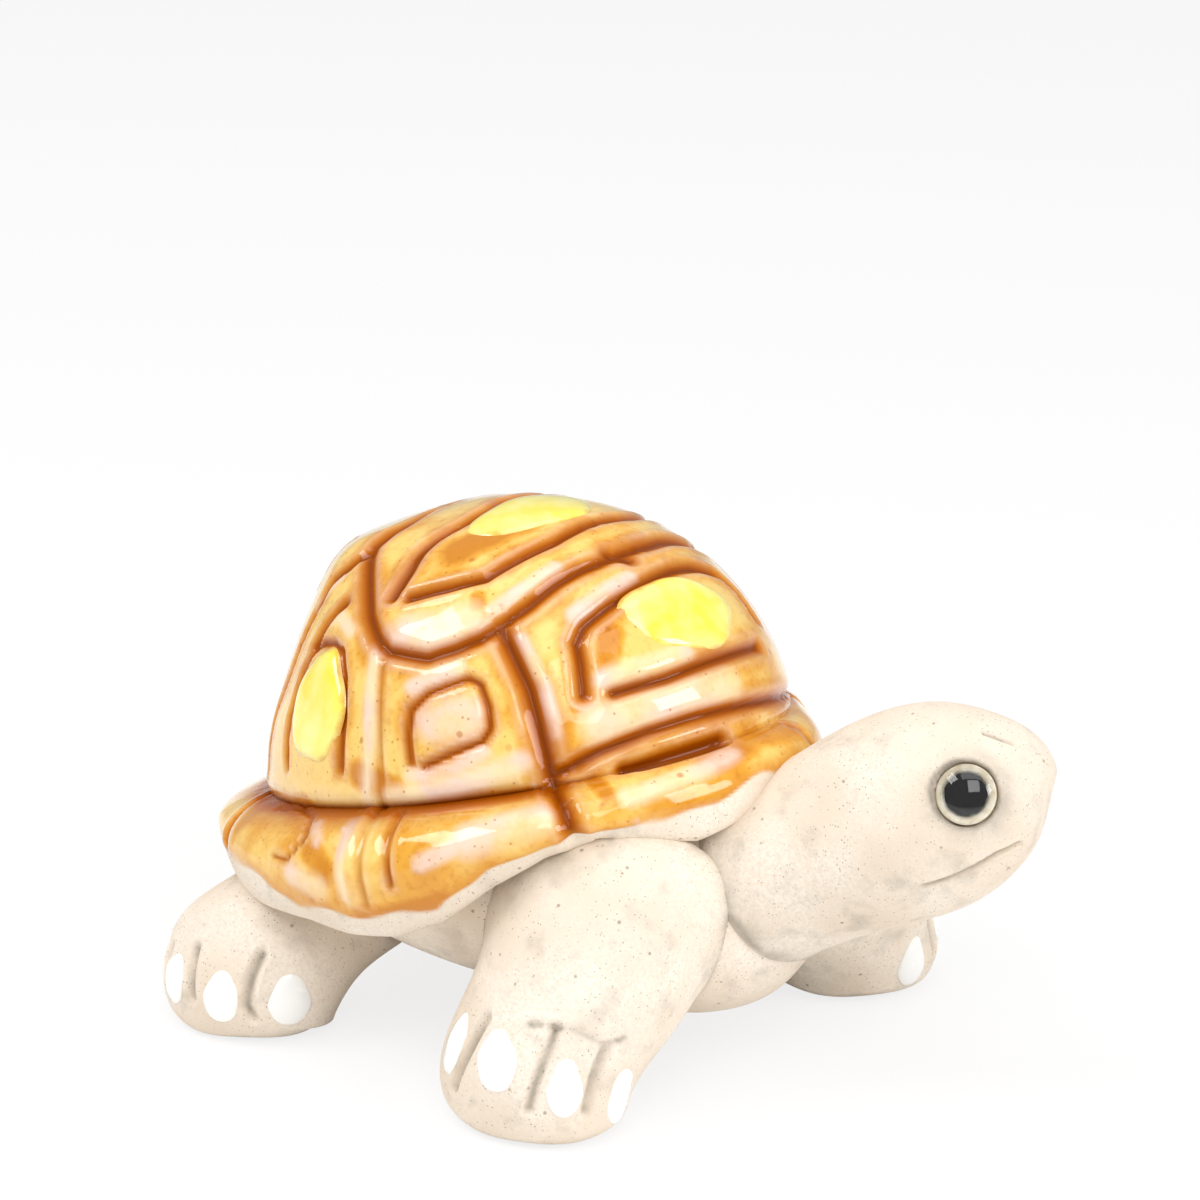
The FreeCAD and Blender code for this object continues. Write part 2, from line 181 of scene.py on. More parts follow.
def settle(piece, name):
    """Names a finished piece and leaves its place in its mesh."""
    make_active(piece)
    bpy.ops.object.transform_apply(location=True, rotation=True, scale=True)
    piece.name = name
    piece.data.name = name
    bpy.ops.object.mode_set(mode="EDIT")
    bpy.ops.mesh.select_all(action="SELECT")
    bpy.ops.mesh.normals_make_consistent(inside=False)
    bpy.ops.object.mode_set(mode="OBJECT")
    bpy.ops.object.shade_smooth()
    return piece


def places_of(piece):
    flat = np.empty(len(piece.data.vertices) * 3)
    piece.data.vertices.foreach_get("co", flat)
    return flat.reshape(-1, 3)


def normals_of(piece):
    flat = np.empty(len(piece.data.vertices) * 3)
    piece.data.vertices.foreach_get("normal", flat)
    return flat.reshape(-1, 3)


def move_to(piece, places):
    piece.data.vertices.foreach_set("co", places.ravel())
    piece.data.update()


def push_out(piece, amounts):
    """Moves each point of a mesh along its normal."""
    move_to(piece, places_of(piece) + normals_of(piece) * amounts[:, None])


def paint(piece, name, values):
    """Keeps a value for each point of the mesh, for its material to read."""
    layer = piece.data.attributes.get(name) or piece.data.attributes.new(name, "FLOAT", "POINT")
    layer.data.foreach_set("value", np.clip(values, 0, 1).astype(np.float32))


def painted(piece, name):
    layer = piece.data.attributes.get(name)
    values = np.zeros(len(piece.data.vertices), dtype=np.float32)
    if layer:
        layer.data.foreach_get("value", values)
    return values


def dirt_and_shade(piece, amounts):
    """Adds dirt, drying marks and painted shade to what a piece has already."""
    paint(piece, "dirt_and_shade", np.maximum(painted(piece, "dirt_and_shade"), amounts))


def unevenness(places, size, depth, seed):
    """Slow, hand-made unevenness as a few crossing waves."""
    random = np.random.default_rng(seed)
    total = np.zeros(len(places))
    for _ in range(6):
        way = random.normal(size=3)
        way *= 2 * math.pi / (size * (0.7 + random.random())) / np.linalg.norm(way)
        total += np.sin(places @ way + random.random() * 6.3)
    return total * depth / 6


def join(pieces):
    """Joins pieces into the first of them."""
    deselect()
    for piece in pieces:
        piece.select_set(True)
    bpy.context.view_layer.objects.active = pieces[0]
    bpy.ops.object.join()
    return pieces[0]


belly_lumps = (((3, 0, 18.9), (30, 24.4, 14)), ((24, 0, 17), (12, 14, 12)))
belly_voxel = 0.55 * mm
lumps = []
for place, halves in belly_lumps:
    bpy.ops.mesh.primitive_uv_sphere_add(segments=64, ring_count=32, location=at(*place),
                                         scale=[half * mm for half in halves])
    lumps.append(bpy.context.object)
belly = join(lumps)
bpy.ops.object.transform_apply(location=True, rotation=True, scale=True)
belly.data.remesh_voxel_size = belly_voxel
bpy.ops.object.voxel_remesh()
apply_modifier(belly, "SMOOTH", factor=0.8, iterations=14)
settle(belly, "belly_bowl_clay")
push_out(belly, unevenness(places_of(belly), 14 * mm, 0.4 * mm, 3))


def over(tree, mask, below, above):
    """One colour laid over another by a mask."""
    return put(tree, "Mix", {"data_type": "RGBA"}, {0: mask, 6: below, 7: above}).outputs[2]


def ramp(tree, value, low, high, start=0.0, end=1.0):
    """A value spread from one span to another, and held at its ends."""
    return put(tree, "MapRange", {}, {0: value, 1: low, 2: high, 3: start, 4: end}).outputs[0]


def times(tree, first, second):
    return reckon(tree, "MULTIPLY", first, second)


def cloud(tree, place, size, detail=3.0):
    """Soft mottling of about a size in millimetres, from 0 to 1."""
    texture = put(tree, "TexNoise", {}, {"Vector": place, "Scale": 1 / (size * mm), "Detail": detail})
    return texture.outputs["Fac"]


def blotches(tree, place, size, low, high, start=0.0, end=1.0, detail=3.0):
    """Mottling with a span of its brightness spread to another span, and held at its ends."""
    return ramp(tree, cloud(tree, place, size, detail), low, high, start, end)


def bump(tree, height, strength, distance):
    return put(tree, "Bump", {}, {"Height": height, "Strength": strength, "Distance": distance}).outputs["Normal"]


def object_place(tree):
    return put(tree, "TexCoord", {}, {}).outputs["Object"]


def flecks(tree, place, size, share):
    """Single round specks of about a size in millimetres over a share of the surface's cells."""
    cells = put(tree, "TexVoronoi", {}, {"Vector": place, "Scale": 1 / (size * mm)})
    chance = put(tree, "SeparateColor", {}, {0: cells.outputs["Color"]}).outputs[0]
    round_speck = ramp(tree, cells.outputs["Distance"], 0.16, 0.30, 1.0, 0.0)
    return reckon(tree, "MULTIPLY", round_speck, ramp(tree, chance, share, share * 0.6, 0.0, 1.0))


def read_paint(tree, name):
    return put(tree, "Attribute", {"attribute_name": name}, {}).outputs["Fac"]


clay_pale, clay_deep = linear(244, 233, 219), linear(230, 214, 194)
clay_speck, clay_dirt_and_shade = linear(134, 112, 84), linear(156, 146, 132)
clay_body = bpy.data.node_groups.new("clay_body", "ShaderNodeTree")
for name, flow, kind in (("DirtAndShade", "INPUT", "Float"), ("Colour", "OUTPUT", "Color"), ("Roughness", "OUTPUT", "Float"),
                         ("Height", "OUTPUT", "Float")):
    clay_body.interface.new_socket(name, in_out=flow, socket_type="NodeSocket" + kind)
clay_in = clay_body.nodes.new("NodeGroupInput")
clay_out = clay_body.nodes.new("NodeGroupOutput")
clay_place = object_place(clay_body)
clay_tone = over(clay_body, blotches(clay_body, clay_place, 11, 0.38, 0.66), clay_pale, clay_deep)
clay_tone = over(clay_body, blotches(clay_body, clay_place, 0.36, 0.42, 0.66, 0, 0.75, 5), clay_tone, clay_deep)
clay_specks = times(clay_body, flecks(clay_body, clay_place, 0.3, 0.26),
                    blotches(clay_body, clay_place, 6, 0.4, 0.6, 0.35, 1.0))
clay_tone = over(clay_body, times(clay_body, clay_specks, 0.9), clay_tone, clay_speck)
clay_pits = flecks(clay_body, clay_place, 0.8, 0.04)
clay_tone = over(clay_body, times(clay_body, clay_pits, 0.6), clay_tone, clay_speck)
# Grey marks: random dirt patches, and each piece's painted mask, which is dirt and painted shade in creases, joints
# and round the eyes.
clay_patches = blotches(clay_body, clay_place, 3.5, 0.55, 0.74, 0, 0.34, 5)
clay_crease_dirt_and_shade = times(clay_body, clay_in.outputs["DirtAndShade"], blotches(clay_body, clay_place, 2.2, 0.3, 0.6, 0.35, 1.0, 5))
clay_dirt_and_shade_mask = reckon(clay_body, "MAXIMUM", clay_crease_dirt_and_shade, clay_patches)
clay_grain = reckon(clay_body, "SUBTRACT", cloud(clay_body, clay_place, 0.28, 4), clay_pits)
wire(clay_body, clay_out, {"Colour": over(clay_body, clay_dirt_and_shade_mask, clay_tone, clay_dirt_and_shade),
                           "Roughness": blotches(clay_body, clay_place, 2.0, 0.3, 0.7, 0.62, 0.82),
                           "Height": clay_grain})

bare_clay, clay_tree, clay_shader = new_material("bare_clay")
clay_node = put(clay_tree, "Group", {"node_tree": clay_body}, {"DirtAndShade": read_paint(clay_tree, "dirt_and_shade")})
wire(clay_tree, clay_shader, {"Base Color": clay_node.outputs["Colour"], "Roughness": clay_node.outputs["Roughness"],
                              "Normal": bump(clay_tree, clay_node.outputs["Height"], 0.5, 0.12 * mm),
                              "Specular IOR Level": 0.35})


def stand_for(piece, material, node):
    """Gives a piece its material and sets it in the frame for the CAD piece that it stands for."""
    piece.data.materials.append(material)
    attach(piece, "root")
    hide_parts(node)


def finish_clay(piece, node):
    dirt_and_shade(piece, 0)
    stand_for(piece, bare_clay, node)


finish_clay(belly, "belly_bowl")


# Legs
# Solid rolls of the same clay, luted to the body under the rim of the shell, with flat soles.
# The toes are parted with the edge of a modelling tool, pressed in while the clay is soft.
roll_sides = 16
roll_swell = 1.026


def draw_roll(name, rings, side):
    """A roll of clay through rings of a place, a half size along the side and the other half size."""
    deselect()
    path = [ring[0] for ring in rings]
    bpy.ops.object.add(type="MESH")
    roll = bpy.context.object
    bpy.ops.object.mode_set(mode="EDIT")
    bpy.ops.mesh.select_mode(type="VERT")
    for place in path:
        bpy.ops.mesh.primitive_circle_add(vertices=roll_sides, radius=1 * mm, location=place)
    bpy.ops.object.mode_set(mode="OBJECT")
    points = []
    for index, (place, half_side, half_other, *flat) in enumerate(rings):
        along = path[min(index + 1, len(path) - 1)] - path[max(index - 1, 0)]
        if flat:
            along = Vector((0, 0, -1))
        along.normalize()
        first = (side - along * side.dot(along)).normalized()
        second = along.cross(first)
        for step in range(roll_sides):
            turn = 2 * math.pi * step / roll_sides
            points.append(place + (first * half_side * math.cos(turn)
                                   + second * half_other * math.sin(turn)) * roll_swell)
    move_to(roll, np.array(points))
    for index in range(1, len(rings)):
        choose(roll, (index - 1) * roll_sides, (index + 1) * roll_sides)
        bpy.ops.mesh.bridge_edge_loops()
        bpy.ops.object.mode_set(mode="OBJECT")
    for index in (0, len(rings) - 1):
        choose(roll, index * roll_sides, (index + 1) * roll_sides)
        bpy.ops.mesh.fill_grid(span=roll_sides // 4)
        bpy.ops.object.mode_set(mode="OBJECT")
    apply_modifier(roll, "SUBSURF", levels=4, render_levels=4)
    return settle(roll, name)


def choose(piece, first, last):
    """Selects a run of a mesh's points and the edges between them."""
    bpy.ops.object.mode_set(mode="EDIT")
    bpy.ops.mesh.select_mode(type="VERT")
    bpy.ops.mesh.select_all(action="DESELECT")
    bpy.ops.object.mode_set(mode="OBJECT")
    for index in range(first, last):
        piece.data.vertices[index].select = True
    bpy.ops.object.mode_set(mode="EDIT")


def distance_to_line(places, line):
    """How far each place is from a line of points."""
    nearest = np.full(len(places), np.inf)
    for start, end in zip(line, line[1:]):
        start = np.array(start)
        run = np.array(end) - start
        share = np.clip((places - start) @ run / max(run @ run, 1e-18), 0, 1)
        nearest = np.minimum(nearest, np.linalg.norm(places - start - share[:, None] * run, axis=1))
    return nearest


def press_line(piece, line, width, depth, lip=0.25):
    """Presses a tool into the clay along a line, which throws up a low lip beside it."""
    far = distance_to_line(places_of(piece), line) / width
    change = -depth * np.exp(-far ** 2 * 2.2) + depth * lip * np.exp(-((far - 1.35) / 0.5) ** 2)
    push_out(piece, change)
    # The pressed groove is also painted darker: dirt and painted shade in the cut.
    dirt_and_shade(piece, 0.9 * np.exp(-far ** 2 * 3))


def seat_line(piece, line):
    """Lays the points of a line on a piece's own surface."""
    tree = BVHTree.FromObject(piece, bpy.context.evaluated_depsgraph_get())
    return [tree.find_nearest(Vector(point))[0] for point in line]


def lute(piece, neighbour, spread, swell):
    """Flares a piece out where it meets its neighbour, leaves slip in the joint and paints the joint darker with dirt
    and painted shade.
    """
    tree = BVHTree.FromObject(neighbour, bpy.context.evaluated_depsgraph_get())
    places = places_of(piece)
    far = np.full(len(places), 1.0)
    for index, place in enumerate(places):
        hit = tree.find_nearest(Vector(place), 6 * spread)
        if hit[0] is not None:
            outside = (Vector(place) - hit[0]).dot(hit[1]) > 0
            far[index] = hit[3] if outside else -hit[3]
    near = np.exp(-np.abs(far) / spread)
    push_out(piece, near * swell)
    dirt_and_shade(piece, np.exp(-np.abs(far) / (0.5 * spread)) * 0.8)


front_rings = [(22.0, 9.0, 21.5, 10.4, 10.0), (23.6, 14.6, 19.4, 11.2, 11.2), (23.8, 19.4, 13.4, 10.5, 10.3),
               (22.7, 23.0, 8.0, 9.9, 9.1), (22.0, 24.8, 4.2, 10.6, 9.2), (21.9, 24.8, 1.4, 10.0, 8.6),
               (21.8, 24.8, 0.0, 7.4, 6.6)]
rear_rings = [(-11.6, 13.0, 13.2, 7.2, 6.9), (-14.0, 19.0, 10.6, 8.2, 7.4), (-15.8, 23.0, 7.6, 9.6, 8.5),
              (-18.0, 25.2, 4.4, 10.7, 9.2), (-18.0, 25.2, 1.4, 10.0, 8.7), (-17.8, 25.2, 0.0, 7.6, 6.8)]
toe_cuts = {"front": (((-111, 4.8), (-101, 12.0)), ((-53, 4.9), (-60, 12.4)), ((-18, 4.4), (-25, 10.4))),
            "rear": (((-127, 3.8), (-133, 7.3)), ((-89, 4.6), (-111, 8.2)), ((-42, 3.6), (-69, 9.1)))}
toe_cut_width, toe_cut_depth, fold_width, fold_depth = 0.75 * mm, 0.7 * mm, 0.6 * mm, 0.22 * mm
foot_fold = ((-75, 12.6), (-60, 12.9), (-45, 12.2), (-27, 10.8), (-16, 11.0))


def leg_rings(table, side):
    rings = [(at(ahead, side * out, up), half_side * mm, half_other * mm)
             for ahead, out, up, half_side, half_other in table]
    rings[-1] += ("flat",)
    return rings


def foot_place(table, side, turn, height):
    """A place on the outside of a foot at a height, and the way out of it."""
    heights = [row[2] for row in table][::-1]
    ahead, out, half_length, half_width = [np.interp(height, heights, [row[column] for row in table][::-1])
                                           for column in (0, 1, 3, 4)]
    way = Vector((math.cos(math.radians(turn)), math.sin(math.radians(turn)), 0))
    reach = 1 / math.hypot(way.x / half_length, way.y / half_width)
    place = at(ahead + way.x * reach, -out + way.y * reach, height)
    if side > 0:
        place.y = -place.y
        way.y = -way.y
    return place, way


legs = {}
for name, table in (("front", front_rings), ("rear", rear_rings)):
    for side_name, side in (("right", -1), ("left", 1)):
        leg = draw_roll(name + "_" + side_name + "_leg_clay", leg_rings(table, side), Vector((1, 0, 0)))
        push_out(leg, unevenness(places_of(leg), 11 * mm, 0.35 * mm, 7))
        for (low_turn, low), (high_turn, high) in toe_cuts[name]:
            line = [foot_place(table, side, low_turn + (high_turn - low_turn) * share, low + (high - low) * share)[0]
                    for share in (0, 0.25, 0.5, 0.75, 1)]
            press_line(leg, seat_line(leg, line), toe_cut_width, toe_cut_depth)
        if name == "front":
            fold = [foot_place(table, side, turn, height)[0] for turn, height in foot_fold]
            press_line(leg, seat_line(leg, fold), fold_width, fold_depth)
        lute(leg, belly, 1.6 * mm, 0.9 * mm)
        places = places_of(leg)
        places[:, 2] = np.maximum(places[:, 2], 0)
        move_to(leg, places)
        finish_clay(leg, name + "_" + side_name + "_leg")
        legs[name, side_name] = leg


# Claws
# Four on each foot, drops of thick white enamel melted flat on the front of the toes. They differ
# in size and lean a little, because each was put on by hand with a brush.
claw_half_width, claw_half_height, claw_proud, claw_sunk = 2.15, 3.0, 0.42, 0.5
claw_tables = {"front": ((-122, 8.4, 0.9, 1.1, -6), (-83, 8.8, 1.08, 1.06, -8), (-37, 6.9, 0.82, 1.0, 6),
                         (7, 4.6, 0.9, 1.02, 4)),
               "rear": ((-150, 6.1, 0.9, 0.9, 0), (-114, 5.6, 0.9, 0.92, -4), (-69, 5.4, 0.95, 0.98, 0),
                        (-24, 5.3, 1.06, 0.95, 4))}
enamel, enamel_tree, enamel_shader = new_material("white_enamel")
enamel_place = object_place(enamel_tree)
enamel_thin = times(enamel_tree, read_paint(enamel_tree, "rim"),
                    blotches(enamel_tree, enamel_place, 1.2, 0.35, 0.65, 0.2, 0.8))
wire(enamel_tree, enamel_shader, {
    "Base Color": over(enamel_tree, enamel_thin, linear(252, 252, 250), linear(238, 230, 212)),
    "Roughness": blotches(enamel_tree, enamel_place, 1.5, 0.3, 0.7, 0.12, 0.3),
    "Normal": bump(enamel_tree, cloud(enamel_tree, enamel_place, 1.6), 0.4, 0.08 * mm),
    "Coat Weight": 0.8, "Coat Roughness": 0.06})

for name, table in (("front", front_rings), ("rear", rear_rings)):
    for side_name, side in (("right", -1), ("left", 1)):
        surface = BVHTree.FromObject(legs[name, side_name], bpy.context.evaluated_depsgraph_get())
        drops = []
        for turn, height, wide, tall, lean in claw_tables[name]:
            place, way = foot_place(table, side, turn, height)
            seat, outward = surface.find_nearest(place)[:2]
            sideways = Vector((0, 0, 1)).cross(outward).normalized() * -side
            upwards = outward.cross(sideways).normalized()
            if upwards.z < 0:
                upwards.negate()
            tilt = math.radians(lean)
            deselect()
            bpy.ops.mesh.primitive_uv_sphere_add(segments=40, ring_count=24, radius=1)
            drop = bpy.context.object
            unit = places_of(drop)
            narrow = 1 - 0.16 * unit[:, 1] - 0.05 * np.sin(unit[:, 1] * 5 + turn / 40)
            left = unit[:, 0] * wide * claw_half_width * mm * narrow
            high = unit[:, 1] * tall * claw_half_height * mm
            left, high = (left * math.cos(tilt) + high * math.sin(tilt),
                          high * math.cos(tilt) - left * math.sin(tilt))
            laid = []
            for index in range(len(unit)):
                hit = surface.find_nearest(seat + sideways * left[index] + upwards * high[index])
                thick = unit[index, 2] * (claw_proud if unit[index, 2] > 0 else claw_sunk) * mm
                laid.append(hit[0] + hit[1] * thick)
            move_to(drop, np.array(laid))
            paint(drop, "rim", np.clip(1 - np.abs(unit[:, 2]) * 1.6, 0, 1))
            drops.append(drop)
        claws = settle(join(drops), name + "_" + side_name + "_enamel_claws")
        stand_for(claws, enamel, name + "_" + side_name + "_claws")


# Neck and head
# One thick roll that leaves the chest and turns to the animal's left, with a blunt snout.
# The mouth is a line cut round the snout, and each eye sits in a round pressed socket.
head_rings = [(19, 0, 16.5, 11.0, 9.4), (28, 0.8, 19.3, 10.1, 8.7), (36, 3.0, 24.0, 9.6, 9.4),
              (43, 5.8, 28.2, 9.9, 10.9), (49, 8.6, 31.3, 9.8, 10.3), (53.6, 10.9, 32.4, 8.2, 7.9),
              (56.2, 12.2, 32.8, 5.7, 5.3), (57.3, 12.7, 32.6, 2.6, 2.6)]
head = draw_roll("neck_and_head_clay", [(at(ahead, left, up), side * mm, high * mm)
                                        for ahead, left, up, side, high in head_rings], Vector((0, 1, 0)))
push_out(head, unevenness(places_of(head), 12 * mm, 0.3 * mm, 5))
lute(head, belly, 1.8 * mm, 0.9 * mm)
head_way = Vector((math.cos(math.radians(25.5)), math.sin(math.radians(25.5)), 0))
head_side = Vector((head_way.y, -head_way.x, 0))
head_axis_place = at(48.99, 8.65, 0)


def other_cheek(place):
    """The same place on the other side of the head."""
    return place - head_side * (2 * (place - head_axis_place).dot(head_side))


mouth_half = [at(*place) for place in ((51.4, 0.2, 24.8), (54.1, 1.7, 25.8), (55.9, 3.1, 27.0), (57.0, 4.6, 28.3),
                                       (57.9, 6.6, 29.0))]
mouth_line = mouth_half + [other_cheek(place) for place in mouth_half[::-1]]
mouth_width, mouth_depth, scratch_width, scratch_depth = 0.42 * mm, 0.75 * mm, 0.3 * mm, 0.3 * mm
press_line(head, seat_line(head, mouth_line), mouth_width, mouth_depth)
brow_scratch = [at(*place) for place in ((53.1, 7, 39.3), (54.6, 7.8, 38.9), (55.6, 8.7, 38.4))]
press_line(head, seat_line(head, brow_scratch), scratch_width, scratch_depth)
eye_radius, eye_sink, eye_bed_depth = 3.0 * mm, 0.6 * mm, 1.2 * mm
eye_middle = at(50.98, 9.59, 30.57)
eye_half_width, eye_half_height = 8.94 * mm, 9.83 * mm
eye_rise = math.radians(25)
eyes = {}
for side_name, side in (("right", 1), ("left", -1)):
    sideways = Vector((0.430, -0.903, 0)) * side
    axis = sideways * math.cos(eye_rise) + Vector((0, 0, math.sin(eye_rise)))
    place = (eye_middle + sideways * (eye_half_width * math.cos(eye_rise))
             + Vector((0, 0, eye_half_height * math.sin(eye_rise))))
    eyes[side_name] = (place - axis * eye_sink, axis)
    offset = places_of(head) - np.array(place)
    along = offset @ np.array(axis)
    from_axis = np.linalg.norm(offset - along[:, None] * np.array(axis), axis=1)
    beside = np.abs(along) < 6 * mm
    sunk = np.where(beside, 1 / (1 + np.exp((from_axis - eye_radius - 0.12 * mm) / (0.07 * mm))), 0)
    lip = np.where(beside, np.exp(-((from_axis - eye_radius - 0.55 * mm) / (0.3 * mm)) ** 2), 0)
    bed_level = -eye_sink - eye_bed_depth
    change = sunk * np.minimum(bed_level - along, 0) + lip * 0.16 * mm
    move_to(head, places_of(head) + change[:, None] * np.array(axis))
    # Painted shade round each socket, with dirt: a thin dark ring, and a wider patch on the snout side.
    snout_side = np.clip(offset @ np.array(head_way) / (3 * mm), -0.2, 1) * 0.5 + 0.5
    ring = np.exp(-((from_axis - eye_radius - 0.25 * mm) / (0.45 * mm)) ** 2)
    wide = np.exp(-((from_axis - eye_radius - 0.4 * mm) / (1.3 * mm)) ** 2) * snout_side
    dirt_and_shade(head, np.where(beside, np.maximum(ring, 0.6 * wide), 0))
finish_clay(head, "neck_and_head")


# Eyes
# Each is a glass cabochon with a flat back, over a black pupil on a cream ground, set into a
# round socket with a little glue after the firing.
def mottled(name, size, first, second, low_rough, high_rough, bump_size, bump_height):
    """A material with slight mottling of its colour and polish, and a fine uneven skin."""
    material, tree, shader = new_material(name)
    place = object_place(tree)
    mask = blotches(tree, place, size, 0.35, 0.65)
    wire(tree, shader, {"Base Color": over(tree, mask, first, second),
                        "Roughness": ramp(tree, mask, 0, 1, low_rough, high_rough),
                        "Normal": bump(tree, cloud(tree, place, bump_size), 0.5, bump_height)})
    return material, tree, shader


iris, iris_tree, iris_shader = mottled("cream_iris", 0.8, linear(246, 238, 218), linear(222, 208, 176), 0.25, 0.4,
                                       0.5, 0.02 * mm)
wire(iris_tree, iris_shader, {"Coat Weight": 0.3, "Coat Roughness": 0.04})
pupil_ink, pupil_tree, pupil_shader = mottled("black_pupil", 0.9, linear(5, 5, 6), linear(14, 12, 12), 0.45, 0.6,
                                              0.7, 0.01 * mm)
wire(pupil_tree, pupil_shader, {"Specular IOR Level": 0.1})
eye_glass, glass_tree, glass_shader = mottled("clear_glass", 2.5, (1, 1, 1, 1), (0.97, 0.985, 0.98, 1), 0.0, 0.03,
                                              3.0, 0.01 * mm)
wire(glass_tree, glass_shader, {"Transmission Weight": 1.0, "IOR": 1.52, "Coat Weight": 1.0, "Coat IOR": 1.75,
                                "Coat Roughness": 0.02, "Alpha": 0.45})
pupil_radius, glass_radius, glass_flatness = 2.12 * mm, 2.96 * mm, 0.5
pupil_sunk, glass_sunk = 0.07 * mm, 0.08 * mm
bed_steps = ((0.2, 0), (0.55, 0.12), (0.1, 0.25))


def set_on_axis(piece, place, axis):
    """Turns a piece made upright at the origin on to an eye's axis."""
    turn = axis.to_track_quat("Z", "Y").to_matrix().to_4x4()
    piece.data.transform(Matrix.Translation(place) @ turn)


for side_name, (place, axis) in eyes.items():
    deselect()
    bpy.ops.mesh.primitive_cylinder_add(vertices=72, radius=eye_radius, depth=eye_bed_depth,
                                        location=(0, 0, -eye_bed_depth / 2))
    bed = bpy.context.object
    bpy.ops.object.transform_apply(location=True)
    bpy.ops.object.mode_set(mode="EDIT")
    bpy.ops.mesh.select_mode(type="FACE")
    bpy.ops.mesh.select_all(action="DESELECT")
    bpy.ops.object.mode_set(mode="OBJECT")
    for face in bed.data.polygons:
        face.select = face.normal.z > 0.5
    bpy.ops.object.mode_set(mode="EDIT")
    for narrower, deeper in bed_steps:
        bpy.ops.mesh.inset(thickness=narrower * mm, depth=-deeper * mm)
    bpy.ops.object.mode_set(mode="OBJECT")
    apply_modifier(bed, "BEVEL", width=0.08 * mm, segments=2)
    set_on_axis(bed, place, axis)
    settle(bed, side_name + "_iris")
    stand_for(bed, iris, side_name + "_eye_bed")

    deselect()
    bpy.ops.mesh.primitive_uv_sphere_add(segments=64, ring_count=24, radius=pupil_radius)
    pupil = bpy.context.object
    spots = places_of(pupil)
    turns = np.arctan2(spots[:, 1], spots[:, 0])
    ragged_edge = 1 + 0.015 * np.sin(7 * turns) + 0.012 * np.sin(13 * turns + 1)
    spots *= np.stack([ragged_edge, ragged_edge, np.full(len(spots), 0.08)], -1)
    spots[:, 2] -= pupil_sunk
    move_to(pupil, spots)
    set_on_axis(pupil, place, axis)
    settle(pupil, side_name + "_pupil")
    stand_for(pupil, pupil_ink, side_name + "_eye_pupil")

    deselect()
    bpy.ops.mesh.primitive_uv_sphere_add(segments=72, ring_count=48, radius=glass_radius)
    dome = bpy.context.object
    bpy.ops.object.mode_set(mode="EDIT")
    bpy.ops.mesh.select_all(action="SELECT")
    bpy.ops.mesh.bisect(plane_co=(0, 0, 0), plane_no=(0, 0, 1), use_fill=True, clear_inner=True)
    bpy.ops.object.mode_set(mode="OBJECT")
    move_to(dome, places_of(dome) * np.array((1, 1, glass_flatness)) + np.array((0, 0, -glass_sunk)))
    apply_modifier(dome, "BEVEL", width=0.1 * mm, segments=3)
    set_on_axis(dome, place, axis)
    settle(dome, side_name + "_glass")
    stand_for(dome, eye_glass, side_name + "_eye_glass")


# Tail
# A short tapered roll of clay pressed on under the back of the shell. The photo hides it, so its
# size is guessed from the space between the brim and the ground.
tail_rings = ((-20, 13.5, 4.8, 4.0), (-27.9, 11.4, 4.1, 3.5), (-34, 8.6, 2.7, 2.3), (-37, 7, 1.2, 1.0))
tail = draw_roll("tail_clay", [(at(ahead, 0, up), side * mm, high * mm) for ahead, up, side, high in tail_rings],
                 Vector((0, 1, 0)))
lute(tail, belly, 1.4 * mm, 0.7 * mm)
finish_clay(tail, "tail")


# Carved shell
# A hollow dome with a flared brim, carved in scutes with a loop tool while leather-hard. It wears
# a glossy honey glaze that runs dark into the cuts and breaks pale over their edges, with painted
# highlights laid on in the same pale tones.
dome_half_length, dome_half_width, dome_height = 29.4 * mm, 25.6 * mm, 26.3 * mm
dome_pitch = math.radians(14.8)
dome_middle = at(-0.5, 0, 27.4)
shell_axes = np.array([(math.cos(dome_pitch), 0, math.sin(dome_pitch)), (0, 1, 0),
                       (-math.sin(dome_pitch), 0, math.cos(dome_pitch))])
brim_turns = (0, 20, 30, 40, 50, 60, 70, 80, 90, 100, 110, 120, 139, 165, 180)
brim_flares = (4.2, 4.5, 4.9, 5.4, 5.9, 6.3, 6.6, 6.6, 6.7, 6.6, 6.6, 6.7, 6.4, 5.2, 5.0)
brim_widest_drops = (3.6, 3.8, 3.8, 3.4, 3.6, 4.4, 5.4, 5.8, 5.8, 5.4, 4.8, 3.8, 1.8, 1.6, 1.8)
rim_drops = (7.0, 8.2, 6.9, 5.4, 6.2, 8.3, 11.2, 12.3, 11.7, 10.4, 9.8, 9.4, 8.0, 6.6, 6.2)
brim_creases = (0.2, 0.25, 0.35, 0.45, 0.55, 0.7, 0.8, 0.85, 0.9, 0.9, 0.9, 0.9, 0.9, 0.8, 0.8)
brim_tuck, under_rise = 2.4, 0.4
rear_swells = ((0.055, 60, 12), (-0.032, 28, 14))
far_brim_turn, far_brim_spread, far_brim_share = 44, 22, 0.75


